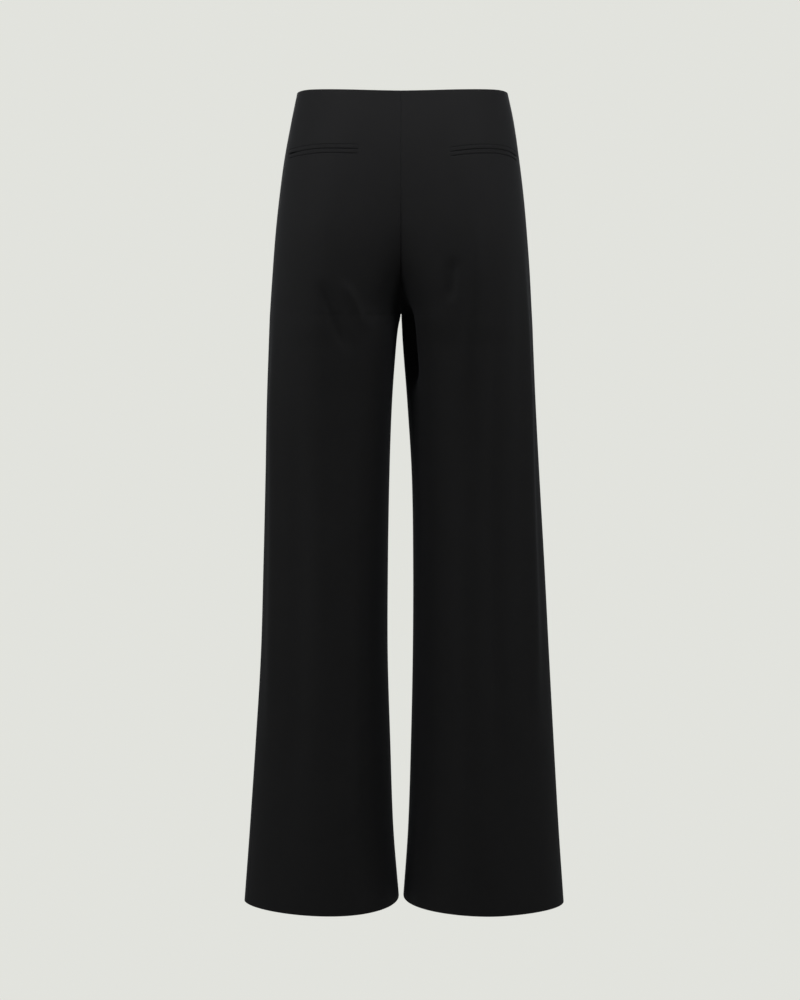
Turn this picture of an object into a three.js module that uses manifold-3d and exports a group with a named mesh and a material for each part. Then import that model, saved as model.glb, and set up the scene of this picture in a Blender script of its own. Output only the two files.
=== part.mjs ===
// Palazzo pants in black suiting cloth, in the hollow form that they take when worn, in millimetres.
// +X points to the wearer's right, +Y to the wearer's front and +Z up. The origin is the middle of
// the waist opening, level with the lowest point of the waist edge, at centre front.
//
// Four panels make the garment: a back and a front for each leg, sewn at the seat seam, the centre
// front seam, the inseams and the side seams. Each back panel has a double welt pocket. A concealed
// zip closes the wearer's left side seam, and shows as its slider and a hinged pull tab.

import * as THREE from "three";
import { mergeVertices } from "three/addons/utils/BufferGeometryUtils.js";
import Module from "manifold-3d";

// Driving sizes
const WALL = 1.6; // the cloth with its pressed seams, as one wall
const TURNING = 1.0; // what a turned-in edge adds to the wall's inside
const WAIST_TURNING_DEPTH = 38;
const HEM_TURNING_DEPTH = 40;
const SEAM_GAP = 0.3; // between any two sewn pieces

const FRONT_DIP = 13; // the waist edge at centre front lies this far below its sides
const BACK_DIP = 6; // and at centre back
const SIDE_DIP = 1.8; // and at its sides, below its highest points
const HEM_LIFT = { left: { inseam: 4.9, side: 1.0 }, right: { inseam: 5.4, side: -1.0 } };
const EDGE_REACH = 110; // how far down the dips are felt, and how far up the hem's lifts are
const LIFT_SPREAD = 1.6; // how much sooner than a dip the inseam's lift ends, on the way round
const SIDE_START = 0.65; // where the sides' dip and lift start, from 0 at a centre to 1 at a side

const CROTCH = { drop: 298, y: 12 }; // where the four panels meet
const SEAM_PULL = 0.5; // how deep the centre seams lie at the waist, between the two sides

// The two centre seams. turn is the drop at which the seam starts to curve under, valley is its depth
// there, and sharp is how pointed the curve is at the crotch: 1 is round.
const SEAT = { turn: 165, valley: 9, sharp: 1.45 };
const CENTRE_FRONT = { turn: 200, valley: 4, sharp: 1.8 };
const SEAM_TUBE = { crest: 88, round: 2.1 }; // the middle tube that gives both sides the seams' curve

// The garment's levels. drop is measured down from the waist edge at the side. The outer and inner
// sides of each leg are measured from the middle plane, back and front from the plane through the
// side lines. A crest is where the back and front stand out most, as a share of the way from the
// inner side to the outer one. The rounds are superellipse exponents: 2 is round, and 3 is squarer.
// A side seam lies this far in front of the leg's widest point, along the cloth.
const COLUMNS = [
  "drop", "leftOuter", "rightOuter", "leftInner", "rightInner", "back", "front", "leftCrest", "rightCrest",
  "outerRound", "leftInnerRound", "rightInnerRound", "leftSeam", "rightSeam",
];
const LEVELS = [
  [0, 139.1, 143.0, 0.2, 0.2, 99, 96, 0.25, 0.25, 2.2, 2.0, 2.0, 28, 28],
  [40, 147.4, 151.5, 0.2, 0.2, 108, 100, 0.3, 0.3, 2.2, 2.0, 2.0, 27, 27],
  [90, 156.7, 158.9, 0.2, 0.2, 118, 104, 0.38, 0.38, 2.2, 2.0, 2.0, 24, 24],
  [140, 163.5, 165.0, 0.2, 0.2, 126, 106, 0.45, 0.45, 2.2, 2.0, 2.1, 21, 21],
  [190, 168.9, 169.6, 0.2, 0.2, 132, 106, 0.5, 0.5, 2.15, 2.0, 2.3, 18, 18],
  [240, 172.9, 173.4, 0.2, 0.2, 132, 104, 0.5, 0.5, 2.1, 2.1, 2.5, 16, 16],
  [298, 176.9, 176.6, 0.5, 0.5, 126, 103, 0.5, 0.5, 2.1, 2.6, 2.5, 14, 14],
  [316, 177.7, 177.6, 3.8, 1.2, 124, 104, 0.5, 0.5, 2.1, 3.1, 2.35, 13, 13],
  [341, 178.7, 178.6, 6.6, 2.6, 120, 104, 0.5, 0.5, 2.1, 3.4, 2.15, 12, 12],
  [420, 181.5, 182.2, 12.2, 8.7, 112, 104, 0.5, 0.5, 2.1, 3.1, 2.1, 9, 12],
  [520, 183.7, 187.8, 15.7, 14.7, 104, 101, 0.49, 0.49, 2.0, 2.6, 2.1, 4, 12],
  [640, 186.9, 195.0, 17.7, 16.5, 99, 97, 0.48, 0.48, 1.9, 2.2, 2.05, -3, 12],
  [760, 190.7, 201.5, 18.0, 16.0, 97, 95, 0.47, 0.47, 1.85, 2.05, 2.0, -11, 12],
  [880, 198.2, 208.3, 14.6, 13.6, 94, 95, 0.45, 0.47, 1.8, 2.0, 2.0, -17, 12],
  [1000, 206.6, 215.5, 10.4, 9.7, 93, 97, 0.43, 0.48, 1.75, 2.1, 2.1, -21, 12],
  [1100, 214.3, 222.6, 2.4, 2.8, 92, 99, 0.4, 0.5, 1.75, 2.2, 2.2, -22, 12],
];
const HEM_DROP = 1100;

// The largest folds: soft ridges, or troughs where height is negative. A fold runs from its top to
// its foot. at and drift are lengths along the cloth from the leg's widest point, minus to the back
// and plus to the front: at is where the top is, and drift is how far the foot lies from there.
// half is the fold's half-width.
const FOLD_COLUMNS = ["side", "at", "drift", "from", "to", "height", "half"];
const FOLDS = [
  ["left", -64, 10, 225, 940, 4.5, 22],
  ["left", -108, 6, 300, 1050, -5.0, 26],
  ["left", -178, -10, 350, 1140, 6.5, 29],
  ["left", -156, -30, 250, 354, -5.0, 11],
  ["left", -184, -32, 248, 323, 4.0, 10],
  ["left", 74, 12, 220, 1140, 5.5, 28],
  ["left", 138, 6, 330, 1140, -6.0, 30],
  ["left", 200, -4, 420, 1140, 5.0, 30],
  ["right", -70, 8, 170, 900, 7.0, 20],
  ["right", -132, 4, 160, 1020, -4.5, 20],
  ["right", -162, -6, 150, 420, 3.0, 15],
  ["right", -194, -2, 220, 286, -3.5, 10],
  ["right", -292, 20, 264, 412, -14.0, 26],
  ["right", -172, 0, 440, 1140, 5.0, 34],
  ["right", 70, 12, 250, 1140, 5.5, 28],
  ["right", 134, 4, 320, 1140, -6.0, 30],
  ["right", 196, 8, 400, 1140, 5.0, 30],
];

const FOLD_FADE = 3; // a fold rises over one part in this many of its length, and fades over another
const SEAM_QUIET = 45; // folds die away over this length to a seam at the middle or inseam

// Back pockets: the mouth runs along the cloth from toward the seat seam to toward the side. It is
// highest at its peak, a share of its length, and droops to both ends. bow is 2 for a round droop.
const POCKETS = {
  left: { from: 54, length: 126, high: 81.9, peak: 0.4, bow: 1.25, innerDroop: 1.5, outerDroop: 4.6 },
  right: { from: 62, length: 128, high: 81.9, peak: 0.5, bow: 2, innerDroop: 5.8, outerDroop: 7.6 },
};
const WELT = { height: 5.7, thick: 1.1, edge: 0.5, mouth: 0.4, bend: 0.15 };

const ZIP = {
  drop: 15, // the pull tab's hinge pin, below the waist edge
  pinRadius: 0.6,
  clearance: 0.3, // round the pin, and under and beside the eye
  eyeWall: 0.7,
  eyeWidth: 2.4,
  cheek: 0.9, // thickness of each of the slider's two cheeks
  body: { width: 5.4, length: 9, thick: 1.0 },
  tab: { length: 20, width: 6.2, neck: 2.2, thick: 1.1, lean: 6.2 }, // lean in degrees, to the cloth
};
ZIP.bore = ZIP.pinRadius + ZIP.clearance;
ZIP.eyeRadius = ZIP.bore + ZIP.eyeWall;
ZIP.pinHeight = SEAM_GAP + ZIP.body.thick + ZIP.clearance + ZIP.eyeRadius; // above the cloth

// How finely the panels and pieces are cut into flats
const SEAM_STRIPS = 9; // from a panel's centre or inner seam to its crest
const SIDE_STRIPS = 8; // and on to its side seam
const QUARTER_STEPS = 24;
const PROBE = 1.5; // how far to each side a direction on the cloth is measured
const SEAT_ROWS = 8; // from where the seat seam starts to curve under to the crotch
const LEG_ROWS = 14;
const WELT_STEPS = 12;
const CURVE_STEPS = 12;

const CLOTH = { color: 0x1b1b1d, roughness: 0.82, metalness: 0 };
const WELT_CLOTH = { color: 0x19191b, roughness: 0.82, metalness: 0 };
const ENAMEL = { color: 0x121214, roughness: 0.35, metalness: 0.4 };

// A smooth curve through one column of LEVELS: cubic between rows, with each row's slope taken
// from its two neighbours.
function levelCurve(column) {
  const k = COLUMNS.indexOf(column);
  const drops = LEVELS.map((row) => row[0]);
  const values = LEVELS.map((row) => row[k]);
  const last = drops.length - 1;
  const slope = (i) => {
    const a = Math.max(i - 1, 0);
    const b = Math.min(i + 1, last);
    return (values[b] - values[a]) / (drops[b] - drops[a]);
  };
  return (drop) => {
    const i = Math.min(Math.max(drops.findIndex((d) => d > drop) - 1, 0), last - 1);
    const row = drop >= drops[last] ? last - 1 : i;
    const span = drops[row + 1] - drops[row];
    const t = THREE.MathUtils.clamp((drop - drops[row]) / span, 0, 1);
    const rise = values[row + 1] - values[row];
    const a = slope(row) * span - rise;
    const b = rise - slope(row + 1) * span;
    return values[row] + t * rise + t * (1 - t) * (a * (1 - t) + b * t);
  };
}
const level = Object.fromEntries(COLUMNS.slice(1).map((name) => [name, levelCurve(name)]));

// Each side's section is a tube of its own. Above the crotch the tubes of the two sides run into each
// other, and each is cut off at the middle plane, which makes the seat seam and the centre front
// seam. These give how much of a tube's depth is left at the middle plane, the same for both sides,
// and where the tube's innermost point then lies, minus past the plane.
function depthAtSeam(drop, seam, deep) {
  const { crest, round } = SEAM_TUBE;
  const above = Math.max(Math.min(drop, seam.turn), 0) / seam.turn;
  const valley = SEAM_PULL + (seam.valley - SEAM_PULL) * above ** 3;
  const start = crest / (1 - (1 - valley / deep) ** round) ** (1 / round) - crest;
  const under = THREE.MathUtils.clamp((drop - seam.turn) / (CROTCH.drop - seam.turn), 0, 1);
  const reach = crest / (crest + start * (1 - under) ** seam.sharp);
  return (1 - reach ** round) ** (1 / round);
}

function innermost(drop, seam, crest, deep, inner, round) {
  if (drop >= CROTCH.drop) return inner;
  return crest - crest / (1 - depthAtSeam(drop, seam, deep) ** round) ** (1 / round);
}

// A quarter of a superellipse from a crest, where it runs across, to a flank, where it runs fore
// and aft, or only as far as it stays outside the middle plane.
function quarter(crest, flank, round) {
  const stop = SEAM_GAP / 2;
  const share = flank.x < stop ? (crest.x - stop) / (crest.x - flank.x) : 1;
  const whole = Math.asin(share ** (round / 2));
  const points = [];
  for (let i = 0; i <= QUARTER_STEPS; i++) {
    const angle = (i / QUARTER_STEPS) * whole;
    const x = crest.x + (flank.x - crest.x) * Math.sin(angle) ** (2 / round);
    const y = flank.y + (crest.y - flank.y) * Math.cos(angle) ** (2 / round);
    points.push(new THREE.Vector2(x, y));
  }
  return points;
}

// One side's section at a drop, from the back seam round the outside to the front seam, with the
// length along it to each point.
const sections = new Map();
function section(side, drop) {
  const key = side + drop.toFixed(4);
  if (sections.has(key)) return sections.get(key);
  const sign = side === "left" ? -1 : 1;
  const outer = level[side + "Outer"](drop);
  const inner = Math.max(level[side + "Inner"](drop), SEAM_GAP / 2);
  const crest = inner + (outer - inner) * level[side + "Crest"](drop);
  const backDeep = level.back(drop) + CROTCH.y;
  const frontDeep = level.front(drop) - CROTCH.y;
  const outerRound = level.outerRound(drop);
  const innerRound = level[side + "InnerRound"](drop);
  const flank = new THREE.Vector2(outer, 0);
  const back = new THREE.Vector2(crest, -level.back(drop));
  const front = new THREE.Vector2(crest, level.front(drop));
  const backInner = innermost(drop, SEAT, crest, backDeep, inner, innerRound);
  const frontInner = innermost(drop, CENTRE_FRONT, crest, frontDeep, inner, innerRound);
  const half = [
    quarter(back, new THREE.Vector2(backInner, CROTCH.y), innerRound).reverse(),
    quarter(back, flank, outerRound).slice(1),
    quarter(front, flank, outerRound).reverse().slice(1),
    quarter(front, new THREE.Vector2(frontInner, CROTCH.y), innerRound).slice(1),
  ].flat();
  const lengths = [0];
  half.forEach((p, i) => i && lengths.push(lengths[i - 1] + p.distanceTo(half[i - 1])));
  const found = {
    points: half.map((p) => new THREE.Vector2(sign * p.x, p.y)),
    lengths,
    total: lengths.at(-1),
    toFlank: lengths[2 * QUARTER_STEPS],
    toSeam: lengths[2 * QUARTER_STEPS] + level[side + "Seam"](drop),
  };
  sections.set(key, found);
  return found;
}

// The point of a section that lies a length along it.
function along(found, length) {
  const { points, lengths, total } = found;
  const at = THREE.MathUtils.clamp(length, 0, total);
  const i = Math.max(lengths.findIndex((l) => l >= at), 1);
  const t = (at - lengths[i - 1]) / (lengths[i] - lengths[i - 1]);
  return points[i - 1].clone().lerp(points[i], t);
}

// The length along a section to a share of one of its quarters, counted from the back seam.
function intoQuarter(found, count, share) {
  const at = (count + share) * QUARTER_STEPS;
  const i = Math.min(Math.floor(at), found.lengths.length - 2);
  return THREE.MathUtils.lerp(found.lengths[i], found.lengths[i + 1], at - i);
}

const bump = (t) => Math.exp(-2 * t * t);
const ease = (t) => THREE.MathUtils.smoothstep(t, 0, 1);

// How far the folds push the cloth out at a length along the section.
function foldHeight(side, found, length, drop) {
  const fromSeam = Math.min(length, found.total - length) / SEAM_QUIET;
  let height = 0;
  for (const row of FOLDS) {
    const fold = Object.fromEntries(FOLD_COLUMNS.map((name, i) => [name, row[i]]));
    if (fold.side !== side) continue;
    const down = (drop - fold.from) / (fold.to - fold.from);
    if (down <= 0 || down >= 1) continue;
    const middle = found.toFlank + fold.at + fold.drift * down;
    const fade = ease(down * FOLD_FADE) * ease((1 - down) * FOLD_FADE);
    height += fold.height * fade * bump((length - middle) / fold.half);
  }
  return height * ease(fromSeam);
}

// A point on the cloth's outer face: a length along the section at a drop, pushed out by the folds.
function cloth(side, length, drop) {
  const found = section(side, drop);
  const here = along(found, length);
  const before = along(found, length - PROBE);
  const after = along(found, length + PROBE);
  const sign = side === "left" ? -1 : 1;
  const out = new THREE.Vector2(after.y - before.y, before.x - after.x).normalize().multiplyScalar(-sign);
  const p = here.addScaledVector(out, -foldHeight(side, found, length, drop));
  return new THREE.Vector3(p.x, p.y, FRONT_DIP - drop);
}

// The cloth's outward direction there.
function outward(side, lengthAt, drop) {
  const here = lengthAt(drop);
  const across = cloth(side, here + PROBE, drop).sub(cloth(side, here - PROBE, drop));
  const lower = cloth(side, lengthAt(drop + PROBE), drop + PROBE);
  const down = lower.sub(cloth(side, lengthAt(drop - PROBE), drop - PROBE));
  const n = across.cross(down).normalize();
  return side === "left" ? n : n.negate();
}

// A closed wall between two grids of points that match, outer and inner, each an array of rows.
// turn says that the rows and strips run clockwise as seen from outside.
function wall(outer, inner, turn) {
  const rows = outer.length;
  const strips = outer[0].length;
  const positions = [...outer.flat(), ...inner.flat()].flatMap((p) => p.toArray());
  const out = (r, s) => r * strips + s;
  const inn = (r, s) => rows * strips + out(r, s);
  const index = [];
  const quad = (a, b, c, d) => index.push(...(turn ? [a, c, b, a, d, c] : [a, b, c, a, c, d]));
  for (let r = 0; r + 1 < rows; r++) {
    for (let s = 0; s + 1 < strips; s++) {
      quad(out(r, s), out(r + 1, s), out(r + 1, s + 1), out(r, s + 1));
      quad(inn(r, s), inn(r, s + 1), inn(r + 1, s + 1), inn(r + 1, s));
    }
    quad(out(r, 0), inn(r, 0), inn(r + 1, 0), out(r + 1, 0));
    quad(out(r + 1, strips - 1), inn(r + 1, strips - 1), inn(r, strips - 1), out(r, strips - 1));
  }
  for (let s = 0; s + 1 < strips; s++) {
    quad(out(0, s + 1), inn(0, s + 1), inn(0, s), out(0, s));
    quad(out(rows - 1, s), inn(rows - 1, s), inn(rows - 1, s + 1), out(rows - 1, s + 1));
  }
  const geometry = new THREE.BufferGeometry();
  geometry.setAttribute("position", new THREE.Float32BufferAttribute(positions, 3));
  geometry.setIndex(index);
  geometry.computeVertexNormals();
  return geometry;
}

function named(name, geometry, look) {
  const mesh = new THREE.Mesh(geometry, new THREE.MeshStandardMaterial(look));
  mesh.name = name;
  return mesh;
}

// The drops of a panel's rows: even down to the seat's turn, closer where the seat seam curves
// under, even down the leg, and a pair of rows at each turned edge's step.
function rowDrops() {
  const even = (from, to, count) => Array.from({ length: count }, (_, i) => from + ((to - from) * i) / count);
  const waistStep = WAIST_TURNING_DEPTH + TURNING;
  const waist = [0, WAIST_TURNING_DEPTH / 2, WAIST_TURNING_DEPTH, waistStep, 65, 95, 130];
  const under = CROTCH.drop - SEAT.turn;
  const seat = even(0, Math.PI / 2, SEAT_ROWS).map((angle) => SEAT.turn + under * Math.sin(angle));
  const thigh = [0, 8, 23, 48].map((below) => CROTCH.drop + below);
  const hemStep = HEM_DROP - HEM_TURNING_DEPTH;
  const leg = even(CROTCH.drop + 85, hemStep - TURNING, LEG_ROWS);
  const hem = [hemStep - TURNING, hemStep, HEM_DROP - HEM_TURNING_DEPTH / 2, HEM_DROP];
  return [...waist, ...seat, ...thigh, ...leg, ...hem];
}

// How much a row's drop is moved at a share of the way round, so that the waist edge dips at both
// centres and the sides, and the hem lifts at the inseam.
function edgeShift(side, share, drop) {
  const dip = share < 0.5 ? BACK_DIP : FRONT_DIP;
  const fromCentre = 1 - Math.abs(2 * share - 1);
  const atSide = ease((fromCentre - SIDE_START) / (1 - SIDE_START));
  const { inseam, side: outer } = HEM_LIFT[side];
  const waist = dip * (1 - ease(fromCentre)) + SIDE_DIP * atSide;
  const hem = inseam * (1 - ease(fromCentre * LIFT_SPREAD)) + outer * atSide;
  return waist * ease(1 - drop / EDGE_REACH) - hem * ease(1 - (HEM_DROP - drop) / EDGE_REACH);
}

// The length along a section to one of a panel's lines: the first ones share out the quarter from
// the centre or inner seam to the crest, and the others run on evenly to the side seam.
function lineLength(found, isBack, line) {
  const share = line / SEAM_STRIPS;
  if (line === 0) return isBack ? SEAM_GAP / 2 : found.total - SEAM_GAP / 2;
  if (line < SEAM_STRIPS) return isBack ? intoQuarter(found, 0, share) : intoQuarter(found, 3, 1 - share);
  const crest = intoQuarter(found, isBack ? 1 : 3, 0);
  const sideSeam = found.toSeam + ((isBack ? -1 : 1) * SEAM_GAP) / 2;
  return THREE.MathUtils.lerp(crest, sideSeam, (line - SEAM_STRIPS) / SIDE_STRIPS);
}

// A panel: the stretch of every section between a centre or inner seam and the side seam.
function panel(side, face) {
  const isBack = face === "back";
  const outer = [];
  const inner = [];
  for (const drop of rowDrops()) {
    const turned = drop <= WAIST_TURNING_DEPTH || drop >= HEM_DROP - HEM_TURNING_DEPTH;
    const thick = WALL + (turned ? TURNING : 0);
    const outerRow = [];
    const innerRow = [];
    for (let line = 0; line <= SEAM_STRIPS + SIDE_STRIPS; line++) {
      const lengthAt = (d) => lineLength(section(side, d), isBack, line);
      const found = section(side, drop);
      const here = drop + edgeShift(side, lengthAt(drop) / found.total, drop);
      const p = cloth(side, lengthAt(here), here);
      const n = outward(side, lengthAt, here);
      outerRow.push(p);
      innerRow.push(p.clone().addScaledVector(n, -thick));
    }
    outer.push(outerRow);
    inner.push(innerRow);
  }
  return named(face + "_" + side, wall(outer, inner, (side === "left") === isBack), CLOTH);
}

// One welt: a strip along the pocket's mouth, above it or below, moved out from the panel's face.
function welt(side, place) {
  const pocket = POCKETS[side];
  const up = place === "upper";
  const across = [0, WELT.bend, 1 - WELT.bend, 1];
  const body = (share) => WELT.edge + (WELT.thick - WELT.edge) * Math.sin(share * Math.PI) ** 0.5;
  const outer = [];
  const inner = [];
  for (let i = 0; i <= WELT_STEPS; i++) {
    const share = i / WELT_STEPS;
    const length = pocket.from + pocket.length * share;
    const [droop, reach] =
      share < pocket.peak ? [pocket.innerDroop, pocket.peak] : [pocket.outerDroop, 1 - pocket.peak];
    const mouth = pocket.high + droop * (Math.abs(share - pocket.peak) / reach) ** pocket.bow;
    const far = mouth + (up ? -1 : 1) * (WELT.mouth / 2 + WELT.height);
    const near = mouth + ((up ? -1 : 1) * WELT.mouth) / 2;
    const top = Math.min(near, far);
    const outerRow = [];
    const innerRow = [];
    for (const a of across) {
      const drop = top + WELT.height * a;
      const p = cloth(side, length, drop);
      const n = outward(side, () => length, drop);
      innerRow.push(p.clone().addScaledVector(n, SEAM_GAP));
      outerRow.push(p.clone().addScaledVector(n, SEAM_GAP + body(a)));
    }
    outer.push(outerRow);
    inner.push(innerRow);
  }
  return named("welt_" + side + "_" + place, wall(outer, inner, side === "right"), WELT_CLOTH);
}

// Solids for the zip's two hard pieces, joined and cut exactly.
const wasm = await Module();
wasm.setup();

function solid(geometry) {
  const bare = geometry.clone();
  bare.deleteAttribute("normal");
  bare.deleteAttribute("uv");
  const merged = mergeVertices(bare, 1e-4);
  const mesh = new wasm.Mesh({
    numProp: 3,
    vertProperties: merged.attributes.position.array,
    triVerts: new Uint32Array(merged.index.array),
  });
  return new wasm.Manifold(mesh);
}

function geometryOf(manifold) {
  const mesh = manifold.getMesh();
  const geometry = new THREE.BufferGeometry();
  geometry.setAttribute("position", new THREE.Float32BufferAttribute(mesh.vertProperties, 3));
  geometry.setIndex(Array.from(mesh.triVerts));
  geometry.computeVertexNormals();
  return geometry;
}

// A round bar or bore along X, centred on the hinge.
function bar(radius, length) {
  return new THREE.CylinderGeometry(radius, radius, length, CURVE_STEPS).rotateZ(Math.PI / 2);
}

// An outline in the plane of the cloth, X across and Y up the seam, given a thickness outwards.
function plate(shape, thick, height) {
  const options = { depth: thick, bevelEnabled: false, curveSegments: CURVE_STEPS };
  return new THREE.ExtrudeGeometry(shape, options).translate(0, 0, height);
}

// The slider: a small body on the seam, with two cheeks that hold the pin across them.
function zipSlider() {
  const { width, length, thick } = ZIP.body;
  const { eyeRadius } = ZIP;
  const corner = width / 3;
  const outline = new THREE.Shape();
  outline.absarc(width / 2 - corner, eyeRadius - corner, corner, 0, Math.PI / 2);
  outline.absarc(corner - width / 2, eyeRadius - corner, corner, Math.PI / 2, Math.PI);
  outline.absarc(corner - width / 2, eyeRadius - length + corner, corner, Math.PI, 1.5 * Math.PI);
  outline.absarc(width / 2 - corner, eyeRadius - length + corner, corner, 1.5 * Math.PI, 2 * Math.PI);
  const foot = SEAM_GAP - ZIP.pinHeight;
  let made = solid(plate(outline, thick, foot));
  const inside = ZIP.eyeWidth / 2 + ZIP.clearance;
  const tall = -foot + ZIP.pinRadius;
  for (const sign of [-1, 1]) {
    const block = new THREE.BoxGeometry(ZIP.cheek, 2 * ZIP.pinRadius + ZIP.eyeWall, tall);
    block.translate(sign * (inside + ZIP.cheek / 2), 0, foot + tall / 2 + ZIP.eyeWall / 3);
    made = made.add(solid(block));
  }
  made = made.add(solid(bar(ZIP.pinRadius, 2 * inside + ZIP.cheek)));
  return named("zip_slider", geometryOf(made), ENAMEL);
}

// The pull tab: an eye round the pin, and a drop-shaped plate that hangs from it.
function zipTab() {
  const { bore, eyeRadius } = ZIP;
  const { length, width, neck, thick, lean } = ZIP.tab;
  const belly = -(length - width / 2);
  const outline = new THREE.Shape();
  outline.moveTo(-neck / 2, 0);
  outline.bezierCurveTo(-neck / 2, belly / 2, -width / 2, belly / 2, -width / 2, belly);
  outline.absarc(0, belly, width / 2, Math.PI, 2 * Math.PI);
  outline.bezierCurveTo(width / 2, belly / 2, neck / 2, belly / 2, neck / 2, 0);
  outline.closePath();
  const eye = solid(bar(eyeRadius, ZIP.eyeWidth));
  const hole = solid(bar(bore, 4 * ZIP.eyeWidth));
  const made = eye.add(solid(plate(outline, thick, -thick / 2))).subtract(hole);
  const tab = named("zip_tab", geometryOf(made), ENAMEL);
  tab.rotation.x = THREE.MathUtils.degToRad(lean);
  return tab;
}

// Both zip pieces, set on the left side seam with X along the pin and Z out of the cloth.
function zip() {
  const seamAt = (drop) => section("left", drop).toSeam;
  const onSeam = (drop) => cloth("left", seamAt(drop), drop);
  const out = outward("left", seamAt, ZIP.drop);
  const reach = ZIP.body.length;
  const upSeam = onSeam(ZIP.drop - reach).sub(onSeam(ZIP.drop + reach)).normalize();
  const pin = upSeam.clone().cross(out).setZ(0).normalize();
  const up = out.clone().cross(pin).normalize();
  const group = new THREE.Group();
  group.add(zipSlider(), zipTab());
  const turned = new THREE.Matrix4().makeBasis(pin, up, pin.clone().cross(up));
  group.quaternion.setFromRotationMatrix(turned);
  group.position.copy(onSeam(ZIP.drop).addScaledVector(out, ZIP.pinHeight));
  return group;
}

const pants = new THREE.Group();
for (const side of ["left", "right"]) {
  for (const face of ["back", "front"]) pants.add(panel(side, face));
  for (const place of ["upper", "lower"]) pants.add(welt(side, place));
}
pants.add(zip());

export default pants;
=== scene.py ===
import math

import bpy
import numpy as np
from mathutils import Euler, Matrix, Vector


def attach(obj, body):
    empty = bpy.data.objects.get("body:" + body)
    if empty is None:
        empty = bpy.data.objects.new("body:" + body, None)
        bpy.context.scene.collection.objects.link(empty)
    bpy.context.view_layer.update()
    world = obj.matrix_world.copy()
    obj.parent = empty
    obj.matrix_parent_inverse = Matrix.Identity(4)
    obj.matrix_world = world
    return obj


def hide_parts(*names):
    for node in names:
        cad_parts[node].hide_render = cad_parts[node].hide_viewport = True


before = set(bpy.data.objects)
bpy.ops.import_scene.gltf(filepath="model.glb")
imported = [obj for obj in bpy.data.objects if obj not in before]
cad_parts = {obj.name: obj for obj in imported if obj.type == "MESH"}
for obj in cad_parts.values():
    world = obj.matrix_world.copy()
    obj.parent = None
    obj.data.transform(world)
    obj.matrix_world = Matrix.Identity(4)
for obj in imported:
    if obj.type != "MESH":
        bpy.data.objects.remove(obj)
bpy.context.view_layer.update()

# The cut of the legs, black suiting held in the hollow form that it takes when worn. Each leg is a
# tube, and above the crotch the tubes of the two legs meet at the middle plane, where they are sewn.
# Lengths are in millimetres, and a drop is a depth below the waist edge as it is before it dips. +X is
# the wearer's right and +Y the wearer's front.
MM = 0.001
FRONT_DIP = 13.0  # the waist edge at centre front lies this far below its sides
BACK_DIP = 6.0
SIDE_DIP = 1.8
HEM_LIFT = {"left": {"inseam": 4.9, "side": 1.0}, "right": {"inseam": 5.4, "side": -1.0}}
EDGE_REACH = 110.0  # how far down the dips are felt, and how far up the hem's lifts are
LIFT_SPREAD = 1.6  # how much sooner than a dip the inseam's lift ends, on the way round
SIDE_START = 0.65  # where the sides' dip and lift start, from 0 at a centre to 1 at a side
HEM_DROP = 1100.0
CROTCH_DROP = 298.0
CROTCH_Y = 12.0
SEAM_PULL = 0.5  # how deep the centre seams lie at the waist
SEAT = {"turn": 165.0, "valley": 9.0, "sharp": 1.45}
CENTRE_FRONT = {"turn": 200.0, "valley": 4.0, "sharp": 1.8}
SEAM_TUBE = {"crest": 88.0, "round": 2.1}  # the middle tube that gives both sides the seams' curve
QUARTER_STEPS = 16
SIDE_STEP = 2.0  # to each side of a point, where the cloth's level direction is taken
NORMAL_STEP = 1.5  # to each side of a point, and above and below it, for its normal
FAR_APART = 5000.0  # more than a section is long

COLUMNS = (
    "drop left_outer right_outer left_inner right_inner back front left_crest right_crest"
    " outer_round left_inner_round right_inner_round left_seam right_seam"
).split()
LEVELS = np.array(
    [
        [0, 139.1, 143.0, 0.2, 0.2, 99, 96, 0.25, 0.25, 2.2, 2.0, 2.0, 28, 28],
        [40, 147.4, 151.5, 0.2, 0.2, 108, 100, 0.3, 0.3, 2.2, 2.0, 2.0, 27, 27],
        [90, 156.7, 158.9, 0.2, 0.2, 118, 104, 0.38, 0.38, 2.2, 2.0, 2.0, 24, 24],
        [140, 163.5, 165.0, 0.2, 0.2, 126, 106, 0.45, 0.45, 2.2, 2.0, 2.1, 21, 21],
        [190, 168.9, 169.6, 0.2, 0.2, 132, 106, 0.5, 0.5, 2.15, 2.0, 2.3, 18, 18],
        [240, 172.9, 173.4, 0.2, 0.2, 132, 104, 0.5, 0.5, 2.1, 2.1, 2.5, 16, 16],
        [298, 176.9, 176.6, 0.5, 0.5, 126, 103, 0.5, 0.5, 2.1, 2.6, 2.5, 14, 14],
        [316, 177.7, 177.6, 3.8, 1.2, 124, 104, 0.5, 0.5, 2.1, 3.1, 2.35, 13, 13],
        [341, 178.7, 178.6, 6.6, 2.6, 120, 104, 0.5, 0.5, 2.1, 3.4, 2.15, 12, 12],
        [420, 181.5, 182.2, 12.2, 8.7, 112, 104, 0.5, 0.5, 2.1, 3.1, 2.1, 9, 12],
        [520, 183.7, 187.8, 15.7, 14.7, 104, 101, 0.49, 0.49, 2.0, 2.6, 2.1, 4, 12],
        [640, 186.9, 195.0, 17.7, 16.5, 99, 97, 0.48, 0.48, 1.9, 2.2, 2.05, -3, 12],
        [760, 190.7, 201.5, 18.0, 16.0, 97, 95, 0.47, 0.47, 1.85, 2.05, 2.0, -11, 12],
        [880, 198.2, 208.3, 14.6, 13.6, 94, 95, 0.45, 0.47, 1.8, 2.0, 2.0, -17, 12],
        [1000, 206.6, 215.5, 10.4, 9.7, 93, 97, 0.43, 0.48, 1.75, 2.1, 2.1, -21, 12],
        [1100, 214.3, 222.6, 2.4, 2.8, 92, 99, 0.4, 0.5, 1.75, 2.2, 2.2, -22, 12],
    ]
)

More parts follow.
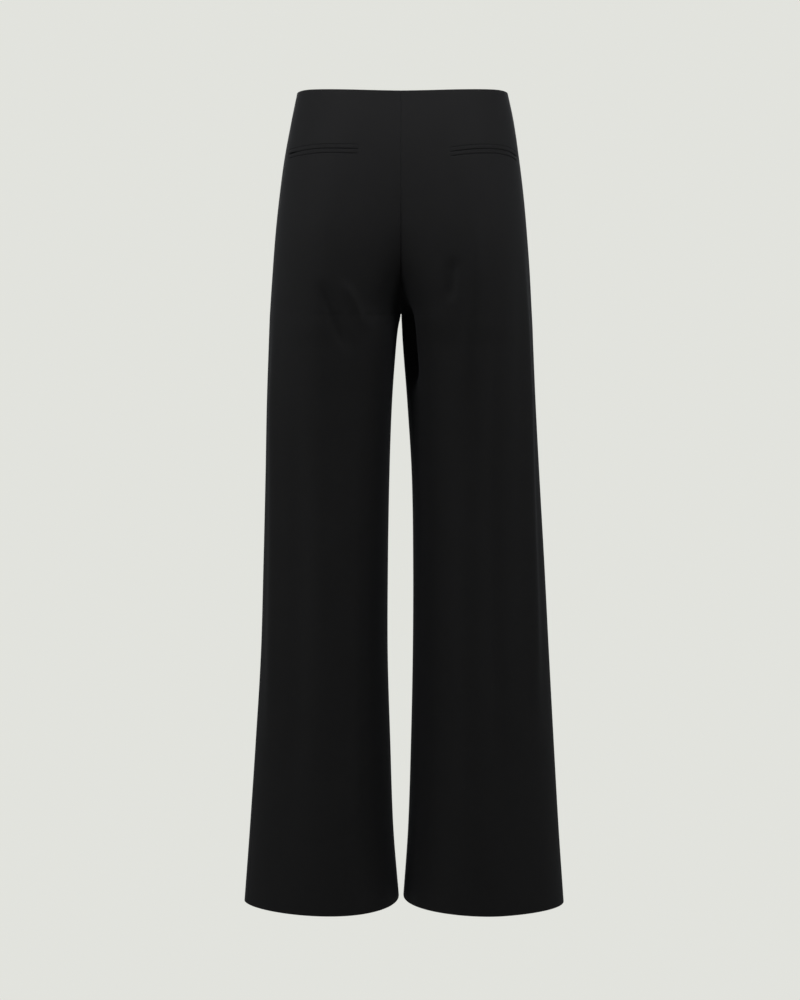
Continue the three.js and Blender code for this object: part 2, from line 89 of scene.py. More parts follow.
# Folds and creases: soft ridges, or troughs where the height is negative, as at, drift, start, end,
# height and half-width. at and drift are lengths along the cloth from the leg's widest point, minus
# to the back: at is where the top lies, and drift how far the foot lies from there.
FOLD_FADE = 0.33  # the share of its length over which a fold fades in, and out again
SEAM_CALM = 45.0  # the folds fade out over this length beside a centre seam or inseam
FOLDS = {
    "left": [
        [-64, 10, 225, 940, 4.5, 22],
        [-108, 6, 300, 1050, -5.0, 26],
        [-178, -10, 350, 1140, 6.5, 29],
        [-156, -30, 250, 354, -5.0, 11],
        [-184, -32, 248, 323, 4.0, 10],
        [74, 12, 220, 1140, 5.5, 28],
        [138, 6, 330, 1140, -6.0, 30],
        [200, -4, 420, 1140, 5.0, 30],
    ],
    "right": [
        [-70, 8, 170, 900, 7.0, 20],
        [-132, 4, 160, 1020, -4.5, 20],
        [-162, -6, 150, 420, 3.0, 15],
        [-194, -2, 220, 286, -3.5, 10],
        [-292, 20, 264, 412, -14.0, 26],
        [-172, 0, 440, 1140, 5.0, 34],
        [70, 12, 250, 1140, 5.5, 28],
        [134, 4, 320, 1140, -6.0, 30],
        [196, 8, 400, 1140, 5.0, 30],
    ],
}


def level(name, drop):
    """A column of LEVELS at any drop: a cubic between rows, whose slope at each row is the mean
    slope to the rows beside it."""
    drops = LEVELS[:, 0]
    values = LEVELS[:, COLUMNS.index(name)]
    rows = np.arange(len(drops))
    before = np.maximum(rows - 1, 0)
    after = np.minimum(rows + 1, rows[-1])
    slopes = (values[after] - values[before]) / (drops[after] - drops[before])
    row = np.clip(np.searchsorted(drops, drop, side="right") - 1, 0, len(drops) - 2)
    span = drops[row + 1] - drops[row]
    t = np.clip((drop - drops[row]) / span, 0, 1)
    rise = values[row + 1] - values[row]
    a = slopes[row] * span - rise
    b = rise - slopes[row + 1] * span
    return values[row] + t * rise + t * (1 - t) * (a * (1 - t) + b * t)


def ease(t):
    """From 0 to 1 with a level start and end."""
    t = np.clip(t, 0, 1)
    return t * t * (3 - 2 * t)


def innermost(drop, seam, crest, deep, inner, round_):
    """Where a leg's tube would reach furthest inwards. Above the crotch that is past the middle
    plane, so that the plane cuts the tube where the centre seam lies: in a valley that deepens with
    the cube of the drop, and then back to the crotch's plane along a power curve. Both come from
    one middle tube, so that the two legs meet. Below the crotch it is the leg's inner side."""
    tube, power = SEAM_TUBE["crest"], SEAM_TUBE["round"]
    above = np.clip(drop, 0, seam["turn"]) / seam["turn"]
    valley = SEAM_PULL + (seam["valley"] - SEAM_PULL) * above**3
    start = tube / (1 - (1 - valley / deep) ** power) ** (1 / power) - tube
    under = np.clip((drop - seam["turn"]) / (CROTCH_DROP - seam["turn"]), 0, 1)
    reach = tube / (tube + start * (1 - under) ** seam["sharp"])
    left = (1 - reach**power) ** (1 / power)
    return np.where(drop >= CROTCH_DROP, inner, crest - crest / (1 - left**round_) ** (1 / round_))


def section(side, drop):
    """A leg's section at each drop, in four superellipse quarters from the back seam round the
    outside to the front seam. Each quarter runs between a crest and a flank, in equal angles, or
    only as far as it stays outside the middle plane. turns counts quarters from the back seam, and
    lengths is the length along the section to each turn."""
    outer = level(side + "_outer", drop)
    inner = level(side + "_inner", drop)
    crest = inner + (outer - inner) * level(side + "_crest", drop)
    back, front = level("back", drop), level("front", drop)
    inner_round, outer_round = level(side + "_inner_round", drop), level("outer_round", drop)
    back_inner = innermost(drop, SEAT, crest, back + CROTCH_Y, inner, inner_round)
    front_inner = innermost(drop, CENTRE_FRONT, crest, front - CROTCH_Y, inner, inner_round)
    flank = np.stack([back_inner, outer, outer, front_inner], 1)
    round_ = np.stack([inner_round, outer_round, outer_round, inner_round], 1)
    crest = np.repeat(crest[:, None], 4, axis=1)
    share = np.where(flank < 0, crest / (crest - flank), 1.0)
    cut = {
        "side": side,
        "drop": drop,
        "crest": crest,
        "crest_y": np.stack([-back, -back, front, front], 1),
        "flank": flank,
        "flank_y": np.broadcast_to([CROTCH_Y, 0.0, 0.0, CROTCH_Y], flank.shape),
        "power": 2 / round_,
        "whole": np.arcsin(np.clip(share, 0, 1) ** (round_ / 2)),
    }
    turns = np.linspace(0, 4, 4 * QUARTER_STEPS + 1)
    points = point_at(cut, np.broadcast_to(turns, (len(drop), len(turns))))
    steps = np.linalg.norm(np.diff(points, axis=1), axis=2)
    lengths = np.concatenate([np.zeros((len(drop), 1)), np.cumsum(steps, axis=1)], axis=1)
    flank_length = lengths[:, 2 * QUARTER_STEPS]
    seam = flank_length + level(side + "_seam", drop)
    return cut | {"lengths": lengths, "total": lengths[:, -1], "to_flank": flank_length, "seam": seam}


def point_at(cut, turn):
    """Points of the sections at turns counted in quarters: a superellipse's x goes with a power of
    the sine of its angle, and y with the same power of the cosine."""
    quarter = np.minimum(turn.astype(int), 3)
    part = turn - quarter
    crest, crest_y, flank, flank_y, power, whole = (
        np.take_along_axis(cut[name], quarter, 1)
        for name in ("crest", "crest_y", "flank", "flank_y", "power", "whole")
    )
    angle = np.where(quarter % 2 == 0, 1 - part, part) * whole
    x = crest + (flank - crest) * np.sin(angle) ** power
    y = flank_y + (crest_y - flank_y) * np.maximum(np.cos(angle), 0) ** power
    return np.stack([-x if cut["side"] == "left" else x, y], -1)


def along(cut, length):
    """The point of each section at a length along it. One lookup finds the turns of all sections,
    because each one's lengths are moved up past the last one's."""
    apart = np.arange(len(cut["total"])) * FAR_APART
    knots = (cut["lengths"] + apart[:, None]).ravel()
    turns = np.tile(np.linspace(0, 4, 4 * QUARTER_STEPS + 1), len(apart))
    turn = np.interp(np.clip(length, 0, cut["total"]) + apart, knots, turns)
    return point_at(cut, turn[:, None])[:, 0]


def fold_height(cut, length):
    """How far the folds push the cloth out: bell curves across, faded at both ends of each fold
    and towards the seams."""
    height = np.zeros_like(length)
    for at, drift, start, end, tall, half in FOLDS[cut["side"]]:
        down = (cut["drop"] - start) / (end - start)
        middle = cut["to_flank"] + at + drift * down
        ends = ease(down / FOLD_FADE) * ease((1 - down) / FOLD_FADE)
        height += tall * ends * np.exp(-2 * ((length - middle) / half) ** 2)
    return height * ease(np.minimum(length, cut["total"] - length) / SEAM_CALM)


def cloth(cut, length):
    """The cloth's outer face: a point of each section, pushed out level by the folds."""
    before, after = along(cut, length - SIDE_STEP), along(cut, length + SIDE_STEP)
    out = np.stack([after[:, 1] - before[:, 1], before[:, 0] - after[:, 0]], -1)
    out *= (-1 if cut["side"] == "left" else 1) / np.linalg.norm(out, axis=1, keepdims=True)
    flat = along(cut, length) + out * fold_height(cut, length)[:, None]
    return np.column_stack([flat, FRONT_DIP - cut["drop"]])


def outward(cut, length_at):
    """The cloth's outward direction, from points a step to each side of it and above and below.
    length_at gives the length along the sections of a cut."""
    upper, lower = (section(cut["side"], cut["drop"] + by) for by in (-NORMAL_STEP, NORMAL_STEP))
    across = cloth(cut, length_at(cut) + NORMAL_STEP) - cloth(cut, length_at(cut) - NORMAL_STEP)
    down = cloth(lower, length_at(lower)) - cloth(upper, length_at(upper))
    normal = np.cross(across, down) * (1 if cut["side"] == "left" else -1)
    return normal / np.linalg.norm(normal, axis=1, keepdims=True)


# The four panels, a back and a front for each leg, cut from suiting and sewn with seams pressed
# open. The waist edge and the hem are turned in and pressed, so the cloth is double there. Each is a
# thin closed shell with rolled edges, which dips into the seams beside it.
CLOTH_THICK = 1.1
TURNING = 0.9  # what a turned edge adds inside
WAIST_TURNING = 38.0
HEM_TURNING = 40.0
ALLOWANCE = 0.5  # what a pressed seam allowance adds inside
ALLOWANCE_WIDTH = 11.0
STEP_WIDTH = 1.6  # over which a turning or an allowance comes in
THINNEST = 0.12  # what is left of the wall at a rolled edge
SEAM_ROLL = 0.6  # how far the cloth rolls down into a seam
SEAM_ROLL_WIDTH = 1.3
SEAT_PULL = {"start": 135.0, "full": 180.0, "end": 20.0, "deeper": 1.2, "wider": 0.8}
LEVEL_END = 5.0  # how far below the crotch the seams' edges stop rolling within the middle plane
PANEL_COLUMNS = 64
EDGE_STEPS = np.array([0, 0.12, 0.35, 0.7, 1.2, 1.9, 3.0, 4.6, 7.0])  # rows and columns by an edge
EDGE_ZONE = 9.0  # where the even rows and columns start

# Back pockets: the mouth starts this far along the cloth from the seat seam and runs to the side. It
# is highest at its peak, a share of its length, and droops to both ends. bow is 2 for a round droop.
POCKETS = {
    "left": {"start": 54.0, "length": 126.0, "high": 81.9, "peak": 0.4, "bow": 1.25, "droops": (1.5, 4.6)},
    "right": {"start": 62.0, "length": 128.0, "high": 81.9, "peak": 0.5, "bow": 2.0, "droops": (5.8, 7.6)},
}
WELT_HEIGHT = 5.7
POCKET_SINK = 1.0  # the panel lies this much deeper under the welts
POCKET_DITCH = 1.2  # width of the slope from there up to the panel's own height
DITCH_UNDER = 0.25  # the share of that slope that lies under the welts
POCKET_FADE = 7.0  # length over which the dent comes in at both ends
GAPE = {"left": 1.5, "right": 0.3}  # how much the mouth widens towards its outer end
GAPE_START = 0.72  # shares of the mouth's length: where it starts to widen,
GAPE_OPEN = 0.2  # how far on it is fully open
GAPE_CLOSE = 0.05  # and how soon it closes at its outer end
GAPE_REACH = 3.42  # how far above and below the mouth the panel lies deeper
GAPE_SINK = 1.3  # how much deeper the panel lies under the open mouth, to each millimetre of it


def spread(start, end, step):
    """Even steps of about this size from start up to, but not including, end."""
    return np.linspace(start, end, max(round((end - start) / step), 1), endpoint=False)


def row_drops():
    """A panel's rows: close at the edges, the turnings' steps, the pockets and the crotch."""
    near_crotch = np.array([13.0, 10.0, 7.5, 5.5, 4.0, 2.8, 1.8, 1.0, 0.4, 0.0])
    waist = [EDGE_STEPS, spread(10, 36, 3.5), spread(36, 41, 0.8), spread(41, 68, 3.5)]
    seat = [spread(68, 70, 1), spread(70, 97, 0.55), spread(97, 165, 4), spread(165, CROTCH_DROP - 15, 3)]
    crotch = [CROTCH_DROP - near_crotch, CROTCH_DROP + near_crotch[-2::-1]]
    step = HEM_DROP - HEM_TURNING
    leg = [spread(CROTCH_DROP + 16, step - 2, 5), spread(step - 2, step + 3, 0.8)]
    hem = [spread(step + 3, HEM_DROP - EDGE_ZONE, 4), HEM_DROP - EDGE_STEPS[::-1]]
    return np.concatenate(waist + seat + crotch + leg + hem)


def edge_shift(side, share, drop):
    """How much lower a row lies at a share of the way round: the waist edge dips at both centres
    and the sides, and the hem lifts at the inseam."""
    dip = np.where(share < 0.5, BACK_DIP, FRONT_DIP)
    from_centre = 1 - np.abs(2 * share - 1)
    at_side = ease((from_centre - SIDE_START) / (1 - SIDE_START))
    waist = dip * (1 - ease(from_centre)) + SIDE_DIP * at_side
    lift = HEM_LIFT[side]
    hem = lift["inseam"] * (1 - ease(LIFT_SPREAD * from_centre)) + lift["side"] * at_side
    return waist * ease(1 - drop / EDGE_REACH) - hem * ease(1 - (HEM_DROP - drop) / EDGE_REACH)


def mouth_drop(pocket, share):
    """The drop of a pocket's mouth, which droops along a power of the way from its peak."""
    peak = pocket["peak"]
    droop = np.where(share < peak, *pocket["droops"])
    reach = np.where(share < peak, peak, 1 - peak)
    return pocket["high"] + droop * (np.abs(share - peak) / reach) ** pocket["bow"]


def gape(side, share):
    """How far the mouth stands open at a share of its length, most of it near the outer end."""
    return GAPE[side] * ease((share - GAPE_START) / GAPE_OPEN) * ease((1 - share) / GAPE_CLOSE)


def pocket_depth(side, length, drop):
    """How much deeper the back panel lies under the welts: a flat-bottomed dent with soft ends, which
    is deeper under the open mouth."""
    pocket = POCKETS[side]
    share = (length - pocket["start"]) / pocket["length"]
    inside = (0.5 - np.abs(share - 0.5)) * pocket["length"]
    from_mouth = np.abs(drop - mouth_drop(pocket, np.clip(share, 0, 1)))
    dent = POCKET_SINK * (1 - ease((from_mouth - WELT_HEIGHT) / POCKET_DITCH + DITCH_UNDER))
    under_mouth = GAPE_SINK * gape(side, share) * ease(1.3 - from_mouth / GAPE_REACH)
    return (dent + under_mouth) * ease(inside / POCKET_FADE)


def roll(distance, depth, width):
    """How far a rolled edge has turned down at a distance from it: a quarter of an ellipse."""
    return depth * (1 - np.sqrt(1 - (1 - np.clip(distance / width, 0, 1)) ** 2))


def shell_faces(rows, columns, turned):
    """The faces of a closed wall between two grids of points: an outer one and then an inner one."""
    index = np.arange(rows * columns).reshape(rows, columns)
    a, b, c, d = index[:-1, :-1], index[1:, :-1], index[1:, 1:], index[:-1, 1:]
    outer = np.stack([a, b, c, d], -1).reshape(-1, 4)
    inner = outer[:, ::-1] + rows * columns
    loop = np.concatenate([index[:, 0], index[-1, 1:], index[-2::-1, -1], index[0, -2:0:-1]])
    after = np.roll(loop, -1)
    under = rows * columns
    rim = np.stack([after, loop, loop + under, after + under], -1)
    faces = np.concatenate([outer, inner, rim])
    return faces[:, ::-1] if turned else faces


def put_mesh(name, points, faces, cloth_map, seam, caps=()):
    """A mesh object from points in millimetres. cloth_map is each point's place on the cloth and
    seam its distance from the nearest seam or edge, both in metres."""
    mesh = bpy.data.meshes.new(name)
    mesh.from_pydata((points * MM).tolist(), [], faces.tolist() + [cap.tolist() for cap in caps])
    corners = np.empty(len(mesh.loops), dtype=np.int32)
    mesh.loops.foreach_get("vertex_index", corners)
    layer = mesh.uv_layers.new(name="cloth")
    layer.data.foreach_set("uv", cloth_map[corners].astype(np.float32).ravel())
    mesh.attributes.new("seam", "FLOAT", "POINT").data.foreach_set("value", seam.astype(np.float32))
    mesh.polygons.foreach_set("use_smooth", np.ones(len(mesh.polygons), dtype=bool))
    mesh.update()
    piece = bpy.data.objects.new(name, mesh)
    bpy.context.scene.collection.objects.link(piece)
    return piece


def panel(side, face):
    """A panel's mesh: every row runs from the centre seam or inseam round to the side seam."""
    is_back = face == "back"
    rows = row_drops()
    middle = np.linspace(0, 1, PANEL_COLUMNS)
    fixed = np.concatenate([EDGE_STEPS, EDGE_ZONE * (1 - 2 * middle), -EDGE_STEPS[::-1]])
    share = np.concatenate([EDGE_STEPS * 0, middle, EDGE_STEPS * 0 + 1])
    columns = len(fixed)
    shares = np.tile(share, len(rows))
    fixeds = np.tile(fixed, len(rows))

    def length_at(cut):
        start = 0 if is_back else cut["total"]
        return start + (cut["seam"] - start) * shares + (1 if is_back else -1) * fixeds

    level_rows = section(side, rows)
    at = {name: np.repeat(level_rows[name], columns) for name in ("total", "seam")}
    row_drop = np.repeat(rows, columns)
    drop = row_drop + edge_shift(side, length_at(at) / at["total"], row_drop)
    cut = section(side, drop)
    length = length_at(cut)
    normal = outward(cut, length_at)
    from_centre = length if is_back else cut["total"] - length
    from_side = np.abs(cut["seam"] - length)
    from_edge = np.minimum(row_drop, HEM_DROP - row_drop)

    turning = 1 - ease((row_drop - WAIST_TURNING) / STEP_WIDTH)
    turning = turning + ease((row_drop - HEM_DROP + HEM_TURNING) / STEP_WIDTH)
    allowance = 1 - ease((np.minimum(from_centre, from_side) - ALLOWANCE_WIDTH) / STEP_WIDTH)
    thick = CLOTH_THICK + TURNING * turning + ALLOWANCE * allowance
    pull = ease((drop - SEAT_PULL["start"]) / (SEAT_PULL["full"] - SEAT_PULL["start"]))
    pull = pull * ease((CROTCH_DROP - drop) / SEAT_PULL["end"]) * is_back
    centre_width = SEAM_ROLL_WIDTH * (1 + SEAT_PULL["wider"] * pull)
    centre_roll = roll(from_centre, SEAM_ROLL * (1 + SEAT_PULL["deeper"] * pull), centre_width)
    seam_roll = np.maximum(centre_roll, roll(from_side, SEAM_ROLL, SEAM_ROLL_WIDTH))
    edge_roll = roll(from_edge, thick / 2, thick / 2)
    sunk = np.minimum(seam_roll + edge_roll, thick - THINNEST)
    if is_back:
        sunk = sunk + pocket_depth(side, length, drop)
    level_seam = (from_centre < centre_width) * ease((CROTCH_DROP + LEVEL_END - drop) / LEVEL_END)
    down_roll = normal * np.column_stack([1 - level_seam, np.ones((len(drop), 2))])
    outer = cloth(cut, length) - down_roll * sunk[:, None]
    inner_sunk = thick - roll(from_edge, thick / 2, thick / 2)
    if is_back:
        inner_sunk = inner_sunk + pocket_depth(side, length, drop)
    inner = cloth(cut, length) - normal * np.maximum(inner_sunk, sunk + THINNEST)[:, None]
    place = np.column_stack([length, drop]) * MM
    seam = np.minimum(np.minimum(from_centre, from_side), from_edge) * MM
    return put_mesh(
        face + "_" + side + "_cloth",
        np.concatenate([outer, inner]),
        shell_faces(len(rows), columns, turned=(side == "left") == is_back),
        np.concatenate([place, place]),
        np.concatenate([seam, seam]),
    )


def group_socket(group, name, kind, direction, value=None):
    """A named input or output of a shader node group."""
    socket = group.interface.new_socket(name=name, in_out=direction, socket_type=kind)
    if value is not None:
        socket.default_value = value
    return socket


CLOTH_NOISE = {"slub": (420.0, 2.0), "nap": (22.0, 4.0), "pucker": (95.0, 1.0)}  # scale and detail
SLUB_HEIGHT = 0.7  # heights here are in shares of the twill's own
PUCKER_HEIGHT = 9.0
PUCKER_FADE = 220.0  # how fast the pucker fades from a seam, to each metre
TWILL_PITCH = 0.00062  # from rib to rib, in metres


def weave_group():
    """Fine twill: ribs that climb across the cloth, crossed by a second set that cuts them into
    floats, with a slow change of nap and a soft pucker beside the seams."""
    group = bpy.data.node_groups.new("twill_weave", "ShaderNodeTree")
    group_socket(group, "Cloth", "NodeSocketVector", "INPUT")
    group_socket(group, "Seam", "NodeSocketFloat", "INPUT", 1.0)
    group_socket(group, "Pitch", "NodeSocketFloat", "INPUT", TWILL_PITCH)
    group_socket(group, "Height", "NodeSocketFloat", "OUTPUT")
    group_socket(group, "Nap", "NodeSocketFloat", "OUTPUT")
    nodes, links = group.nodes, group.links
    given = nodes.new("NodeGroupInput")
    result = nodes.new("NodeGroupOutput")

    def maths(operation, a, b=None, c=None):
        node = nodes.new("ShaderNodeMath")
        node.operation = operation
        for i, value in enumerate((a, b, c)):
            if value is None:
                continue
            if isinstance(value, (int, float)):
                node.inputs[i].default_value = value
            else:
                links.new(value, node.inputs[i])
        return node.outputs[0]

    def noise(scale, detail):
        node = nodes.new("ShaderNodeTexNoise")
        node.inputs["Scale"].default_value = scale
        node.inputs["Detail"].default_value = detail
        links.new(given.outputs["Cloth"], node.inputs["Vector"])
        return node.outputs["Fac"]

    split = nodes.new("ShaderNodeSeparateXYZ")
    links.new(given.outputs["Cloth"], split.inputs[0])
    across = maths("DIVIDE", split.outputs["X"], given.outputs["Pitch"])
    down = maths("DIVIDE", split.outputs["Y"], given.outputs["Pitch"])
    rib = maths("SINE", maths("MULTIPLY", maths("MULTIPLY_ADD", down, 0.5, across), math.tau))
    cross = maths("SINE", maths("MULTIPLY", maths("MULTIPLY_ADD", down, -1.0, across), math.pi))
    twill = maths("MULTIPLY_ADD", maths("MULTIPLY", rib, maths("ABSOLUTE", cross)), 0.5, 0.5)
    slub, nap, pucker = (noise(*CLOTH_NOISE[name]) for name in ("slub", "nap", "pucker"))
    near = maths("POWER", math.e, maths("MULTIPLY", given.outputs["Seam"], -PUCKER_FADE))
    woven = maths("MULTIPLY_ADD", slub, SLUB_HEIGHT, twill)
    height = maths("MULTIPLY_ADD", maths("MULTIPLY", near, pucker), PUCKER_HEIGHT, woven)
    links.new(height, result.inputs["Height"])
    links.new(nap, result.inputs["Nap"])
    return group


WEAVE = weave_group()


def suiting(name, dark, light):
    """Black suiting: matte twill, with a faint sheen from its nap."""
    material = bpy.data.materials.new(name)
    material.use_nodes = True
    nodes, links = material.node_tree.nodes, material.node_tree.links
    shader = nodes["Principled BSDF"]
    weave = nodes.new("ShaderNodeGroup")
    weave.node_tree = WEAVE
    place = nodes.new("ShaderNodeUVMap")
    place.uv_map = "cloth"
    seam = nodes.new("ShaderNodeAttribute")
    seam.attribute_name = "seam"
    tone = nodes.new("ShaderNodeValToRGB")
    tone.color_ramp.elements[0].color = dark
    tone.color_ramp.elements[1].color = light
    rough = nodes.new("ShaderNodeMapRange")
    rough.inputs["To Min"].default_value = 0.68
    rough.inputs["To Max"].default_value = 0.8
    bump = nodes.new("ShaderNodeBump")
    bump.inputs["Strength"].default_value = 0.5
    bump.inputs["Distance"].default_value = 0.00003
    links.new(place.outputs["UV"], weave.inputs["Cloth"])
    links.new(seam.outputs["Fac"], weave.inputs["Seam"])
    links.new(weave.outputs["Nap"], tone.inputs["Fac"])
    links.new(weave.outputs["Nap"], rough.inputs["Value"])
    links.new(weave.outputs["Height"], bump.inputs["Height"])
    links.new(tone.outputs["Color"], shader.inputs["Base Color"])
    links.new(rough.outputs["Result"], shader.inputs["Roughness"])
    links.new(bump.outputs["Normal"], shader.inputs["Normal"])
    shader.inputs["Specular IOR Level"].default_value = 0.09
    shader.inputs["Sheen Weight"].default_value = 0.05
    shader.inputs["Sheen Roughness"].default_value = 0.45
    shader.inputs["Sheen Tint"].default_value = (0.75, 0.8, 0.9, 1.0)
    return material


PANEL_CLOTH = suiting("panel_suiting", (0.0085, 0.0085, 0.009, 1), (0.0115, 0.0115, 0.012, 1))
for side in ("left", "right"):
    for face in ("back", "front"):
        piece = panel(side, face)
        piece.data.materials.append(PANEL_CLOTH)
        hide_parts(face + "_" + side)
        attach(piece, "pants")

# The back pockets' welts, two to a pocket: narrow strips of the same suiting, folded along the
# mouth and sewn into the slit that is cut in the panel. They lie in the panel with their folds
# nearly closed, and the outer end of the left pocket gapes a little.
WELT_THICK = 0.62  # half of the folded strip's thickness
WELT_SEAT = -0.25  # its middle, from the panel's own height
WELT_MOUTH = 0.35  # half of the gap between the two folds
WELT_STEPS = 90
WELT_SIDES = 28
WELT_TIP = 2.2  # length over which each end closes
WELT_SQUARE = 0.75  # under 1 the strip's section is blunter than an ellipse
WELT_FULLER = 0.28  # how much thicker it is at the mouth's fold than in the middle
WELT_TUCK = 0.5  # how much deeper the ends lie, tucked away under the panel


def welt(side, place):
    """A welt's mesh: a rounded strip's section carried along the mouth, closing at both ends."""
    pocket = POCKETS[side]
    up = -1 if place == "upper" else 1
    run = 0.5 - 0.5 * np.cos(np.linspace(0, math.pi, WELT_STEPS))
    ends = np.minimum(run, 1 - run) * pocket["length"] / WELT_TIP
    tip = np.sqrt(1 - (1 - np.clip(ends, 0.04, 1)) ** 2)
    opening = WELT_MOUTH + 0.5 * gape(side, run)
    tuck = WELT_TUCK * (1 - ease(np.minimum(run, 1 - run) * pocket["length"] / POCKET_FADE))
    around = np.linspace(0, math.tau, WELT_SIDES, endpoint=False)
    half = (WELT_HEIGHT - opening) / 2
    high = np.sign(np.cos(around)) * np.abs(np.cos(around)) ** WELT_SQUARE
    thick = WELT_THICK * (1 + WELT_FULLER * high * up)
    from_mouth = opening[:, None] + half[:, None] * (1 + high[None, :])
    drop = mouth_drop(pocket, run)[:, None] + up * from_mouth
    out = WELT_SEAT - tuck[:, None] + thick * np.sin(around) * tip[:, None]
    length = np.repeat(pocket["start"] + pocket["length"] * run, WELT_SIDES)
    drop, out = drop.ravel(), out.ravel()
    cut = section(side, drop)
    points = cloth(cut, length) + outward(cut, lambda _: length) * out[:, None]
    index = np.arange(WELT_STEPS * WELT_SIDES).reshape(WELT_STEPS, WELT_SIDES)
    after = np.roll(index, -1, axis=1)
    faces = np.stack([index[:-1], index[1:], after[1:], after[:-1]], -1).reshape(-1, 4)
    turned = (side == "left") == (up > 0)
    caps = [index[0], index[-1, ::-1]]
    if turned:
        faces, caps = faces[:, ::-1], [cap[::-1] for cap in caps]
    place_on_cloth = np.column_stack([drop, length]) * MM
    seam = np.abs(from_mouth.ravel() - WELT_HEIGHT) * MM
    name = "welt_" + side + "_" + place
    return put_mesh(name + "_cloth", points, faces, place_on_cloth, seam, caps)


# The welts' suiting is a darker copy of the panels' own suiting: painted shade that makes the pocket lines
# read darker than the cloth round them.
WELT_SHADED_CLOTH = suiting("welt_suiting_shaded", (0.0078, 0.0078, 0.0083, 1), (0.0105, 0.0105, 0.011, 1))
for side in ("left", "right"):
    for place in ("upper", "lower"):
        piece = welt(side, place)
        piece.data.materials.append(WELT_SHADED_CLOTH)
        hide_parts("welt_" + side + "_" + place)
        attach(piece, "pants")

# The concealed zip's slider, on the wearer's left side seam, and its hinged pull tab, cast in zinc
# and enamelled black. The tab's eye turns on the slider's pin.


def enamel(name):
    """Black enamel, smooth, with a faint orange-peel and a little wear."""
    material = bpy.data.materials.new(name)
    material.use_nodes = True
    nodes, links = material.node_tree.nodes, material.node_tree.links
    shader = nodes["Principled BSDF"]
    place = nodes.new("ShaderNodeTexCoord")
    peel = nodes.new("ShaderNodeTexNoise")
    peel.inputs["Scale"].default_value = 900.0
    rough = nodes.new("ShaderNodeMapRange")
    rough.inputs["To Min"].default_value = 0.28
    rough.inputs["To Max"].default_value = 0.42
    bump = nodes.new("ShaderNodeBump")
    bump.inputs["Strength"].default_value = 0.3
    bump.inputs["Distance"].default_value = 0.00002
    links.new(place.outputs["Object"], peel.inputs["Vector"])
    links.new(peel.outputs["Fac"], rough.inputs["Value"])
    links.new(peel.outputs["Fac"], bump.inputs["Height"])
    links.new(rough.outputs["Result"], shader.inputs["Roughness"])
    links.new(bump.outputs["Normal"], shader.inputs["Normal"])
    shader.inputs["Base Color"].default_value = (0.007, 0.007, 0.0075, 1.0)
    shader.inputs["Coat Weight"].default_value = 0.3
    return material


ENAMEL = enamel("zip_enamel")
for node in ("zip_slider", "zip_tab"):
    bpy.data.objects[node].material_slots[0].material = ENAMEL

# A plain pale floor well below the hems, soft light from large panels, and the camera behind the
# wearer, level with the hips. All of it stands round the trousers and is not part of them. Floor and
# background show one even tone, and only part of it lights the cloth.
FLOOR_Z = -1.30
FLOOR_REACH = 40.0
PALE = (0.761, 0.768, 0.727, 1.0)
AMBIENT = 0.15  # the light that the background gives, as a share of its own tone
CAMERA_PLACE = (-0.00135, -3.4, -0.288)
CAMERA_TILT = 3.0435  # degrees down
CAMERA_LENS = 90.44
CAMERA_SHIFT = -0.05

floor_corners = [(x * FLOOR_REACH, y * FLOOR_REACH, FLOOR_Z) for x, y in ((-1, -1), (1, -1), (1, 1), (-1, 1))]
floor_mesh = bpy.data.meshes.new("floor")
floor_mesh.from_pydata(floor_corners, [], [(0, 1, 2, 3)])
floor = bpy.data.objects.new("floor", floor_mesh)
bpy.context.scene.collection.objects.link(floor)

ground = bpy.data.materials.new("pale_floor")
ground.use_nodes = True
nodes, links = ground.node_tree.nodes, ground.node_tree.links
shader = nodes["Principled BSDF"]
shader.inputs["Base Color"].default_value = (0.5, 0.5, 0.48, 1.0)
shader.inputs["Roughness"].default_value = 1.0
shader.inputs["Specular IOR Level"].default_value = 0.0
tone = nodes.new("ShaderNodeEmission")
tone.inputs["Color"].default_value = PALE
seen = nodes.new("ShaderNodeLightPath")
mixed = nodes.new("ShaderNodeMixShader")
links.new(seen.outputs["Is Camera Ray"], mixed.inputs["Fac"])
links.new(shader.outputs[0], mixed.inputs[1])
links.new(tone.outputs[0], mixed.inputs[2])
links.new(mixed.outputs[0], nodes["Material Output"].inputs["Surface"])
floor_mesh.materials.append(ground)

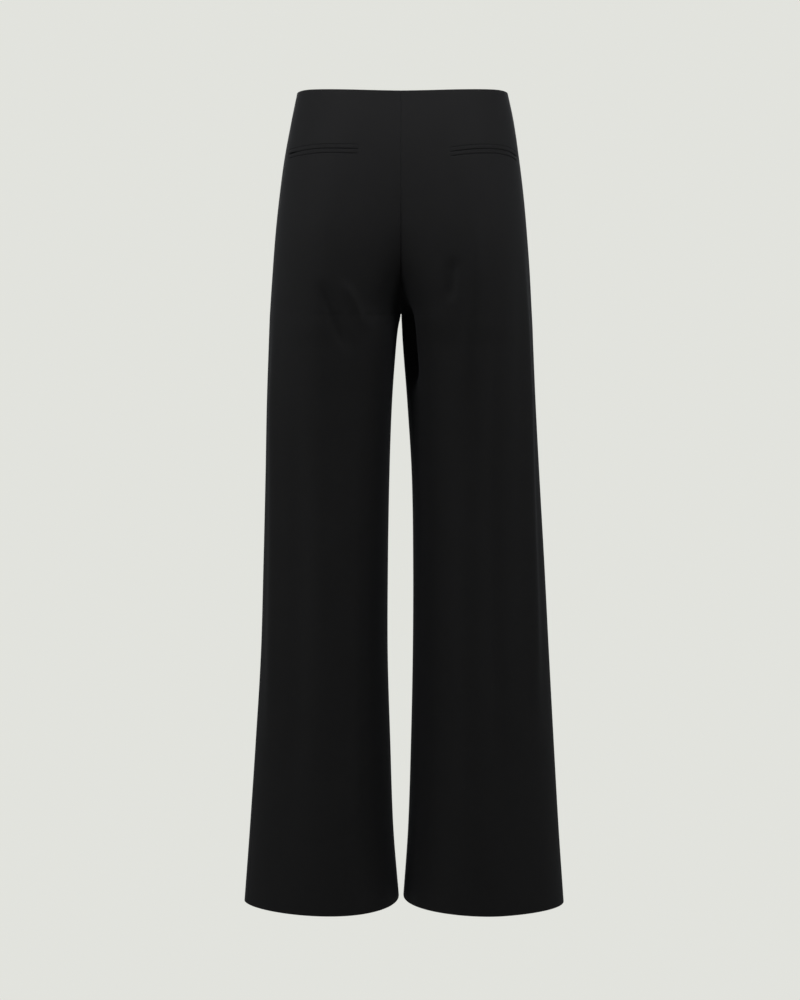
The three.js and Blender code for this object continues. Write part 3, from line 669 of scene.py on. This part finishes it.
world = bpy.data.worlds.new("studio")
world.use_nodes = True
nodes, links = world.node_tree.nodes, world.node_tree.links
background = nodes["Background"]
background.inputs["Color"].default_value = PALE
seen = nodes.new("ShaderNodeLightPath")
strength = nodes.new("ShaderNodeMapRange")
strength.inputs["To Min"].default_value = AMBIENT
strength.inputs["To Max"].default_value = 1.0
links.new(seen.outputs["Is Camera Ray"], strength.inputs["Value"])
links.new(strength.outputs["Result"], background.inputs["Strength"])
bpy.context.scene.world = world
bpy.context.scene.view_settings.view_transform = "Standard"

LIGHTS = {  # place, what it points at, width and height in metres, watts
    "top": ((0.0, -0.9, 1.5), (0.0, -0.1, -0.1), (1.6, 0.9), 4.8),
    "waist": ((0.0, -0.34, 0.32), (0.0, -0.1, -0.03), (1.0, 0.15), 2.2),
    "left_back": ((-1.8, -1.6, 0.2), (0.0, 0.0, -0.4), (0.8, 1.2), 16.5),
    "left_side": ((-1.6, -0.25, 0.1), (0.0, 0.0, -0.3), (0.6, 0.9), 4.7),
    "right_back": ((1.8, -1.6, 0.2), (0.0, 0.0, -0.4), (0.8, 1.2), 11.2),
    "right_side": ((1.6, -0.25, 0.1), (0.0, 0.0, -0.3), (0.6, 0.9), 5.3),
    "front": ((0.0, 2.2, 0.7), (0.0, 0.0, -0.4), (2.0, 1.4), 24.0),
}
for name, (spot, target, size, watts) in LIGHTS.items():
    lamp = bpy.data.lights.new(name, "AREA")
    lamp.shape = "RECTANGLE"
    lamp.size, lamp.size_y = size
    lamp.energy = watts
    stand = bpy.data.objects.new(name, lamp)
    stand.location = spot
    stand.rotation_euler = (Vector(target) - Vector(spot)).to_track_quat("-Z", "Y").to_euler()
    bpy.context.scene.collection.objects.link(stand)

camera = bpy.data.objects.new("camera", bpy.data.cameras.new("camera"))
camera.data.lens = CAMERA_LENS
camera.data.shift_y = CAMERA_SHIFT
camera.location = CAMERA_PLACE
camera.rotation_euler = Euler((math.radians(90 - CAMERA_TILT), 0, 0))
bpy.context.scene.collection.objects.link(camera)
bpy.context.scene.camera = camera
